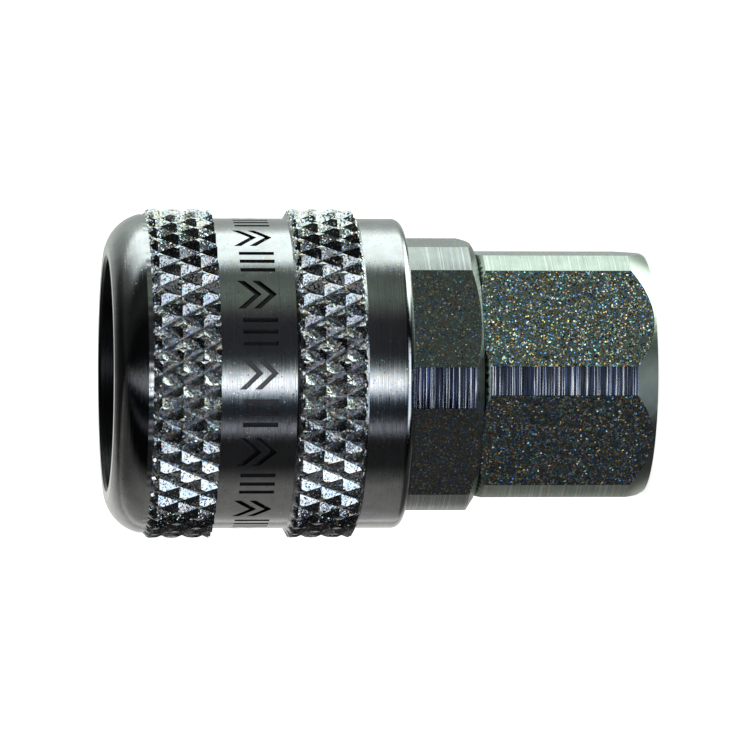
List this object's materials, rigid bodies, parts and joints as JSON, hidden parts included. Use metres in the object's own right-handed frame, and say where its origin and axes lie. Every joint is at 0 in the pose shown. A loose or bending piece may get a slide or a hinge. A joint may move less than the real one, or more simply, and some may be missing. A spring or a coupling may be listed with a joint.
{
  "type": "quick disconnect coupler",
  "caption": "Pneumatic quick disconnect socket with a knurled sliding sleeve that frees locking balls, a sprung shut-off valve, a hexagonal body and a female pipe port.",
  "frame": {"origin": "centre of the adapter's flat rear face, on the coupler's axis", "axes": "+Z along the axis from the rear face towards the nose that takes the plug; +X and +Y across, with the middle of one locking ball towards +X"},
  "size_m": [0.0238, 0.0238, 0.039],
  "materials": {
    "sleeve_plate": "turned and knurled steel, bright plated",
    "body_plate": "drawn steel hexagon, bright plated, turned corners",
    "adapter_plate": "drawn steel hexagon, bright plated, turned corners",
    "ring_steel": "hardened spring steel",
    "washer_steel": "stamped steel",
    "spring_steel": "drawn spring wire",
    "ball_steel": "polished ball bearing steel",
    "valve_brass": "turned brass",
    "seal_rubber": "moulded nitrile rubber",
    "gasket_fibre": "pressed fibre"
  },
  "bodies": {
    "coupler_body": {"socket_body": "body_plate", "end_adapter": "adapter_plate", "sleeve_retaining_ring": "ring_steel", "plug_seal": "seal_rubber", "valve_seat": "valve_brass", "valve_spring": "spring_steel", "valve_guide": "valve_brass", "adapter_gasket": "gasket_fibre"},
    "spring_stack": {"sleeve_spring": "spring_steel", "spring_washer": "washer_steel"},
    "sleeve": {"sleeve": "sleeve_plate"},
    "valve": {"valve_poppet": "valve_brass", "valve_seal": "seal_rubber", "valve_seal_cap": "valve_brass"},
    "locking_ball_1": {"locking_ball_1": "ball_steel"},
    "locking_ball_2": {"locking_ball_2": "ball_steel"},
    "locking_ball_3": {"locking_ball_3": "ball_steel"},
    "locking_ball_4": {"locking_ball_4": "ball_steel"},
    "locking_ball_5": {"locking_ball_5": "ball_steel"},
    "locking_ball_6": {"locking_ball_6": "ball_steel"}
  },
  "joints": [
    {"name": "sleeve_spin", "type": "hinge", "parent": "coupler_body", "child": "spring_stack", "pos_m": [0, 0, 0.025], "axis": [0, 0, 1], "continuous": true},
    {"name": "sleeve_slide", "type": "slide", "parent": "spring_stack", "child": "sleeve", "axis": [0, 0, -1], "range_m": [0, 0.003], "stiffness_N_per_m": 2500, "springref_m": -0.004, "deforming": ["sleeve_spring"]},
    {"name": "valve_slide", "type": "slide", "parent": "coupler_body", "child": "valve", "axis": [0, 0, -1], "range_m": [0, 0.0026], "stiffness_N_per_m": 1500, "springref_m": -0.003, "deforming": ["valve_spring"]},
    {"name": "locking_ball_1_lift", "type": "slide", "parent": "coupler_body", "child": "locking_ball_1", "axis": [1, 0, 0], "range_m": [0, 0.00084]},
    {"name": "locking_ball_2_lift", "type": "slide", "parent": "coupler_body", "child": "locking_ball_2", "axis": [0.5, 0.866, 0], "range_m": [0, 0.00084]},
    {"name": "locking_ball_3_lift", "type": "slide", "parent": "coupler_body", "child": "locking_ball_3", "axis": [-0.5, 0.866, 0], "range_m": [0, 0.00084]},
    {"name": "locking_ball_4_lift", "type": "slide", "parent": "coupler_body", "child": "locking_ball_4", "axis": [-1, 0, 0], "range_m": [0, 0.00084]},
    {"name": "locking_ball_5_lift", "type": "slide", "parent": "coupler_body", "child": "locking_ball_5", "axis": [-0.5, -0.866, 0], "range_m": [0, 0.00084]},
    {"name": "locking_ball_6_lift", "type": "slide", "parent": "coupler_body", "child": "locking_ball_6", "axis": [0.5, -0.866, 0], "range_m": [0, 0.00084]}
  ],
  "couplings": [
    {"joint": "locking_ball_1_lift", "follows": "sleeve_slide", "ratio": 0.28},
    {"joint": "locking_ball_2_lift", "follows": "sleeve_slide", "ratio": 0.28},
    {"joint": "locking_ball_3_lift", "follows": "sleeve_slide", "ratio": 0.28},
    {"joint": "locking_ball_4_lift", "follows": "sleeve_slide", "ratio": 0.28},
    {"joint": "locking_ball_5_lift", "follows": "sleeve_slide", "ratio": 0.28},
    {"joint": "locking_ball_6_lift", "follows": "sleeve_slide", "ratio": 0.28}
  ]
}
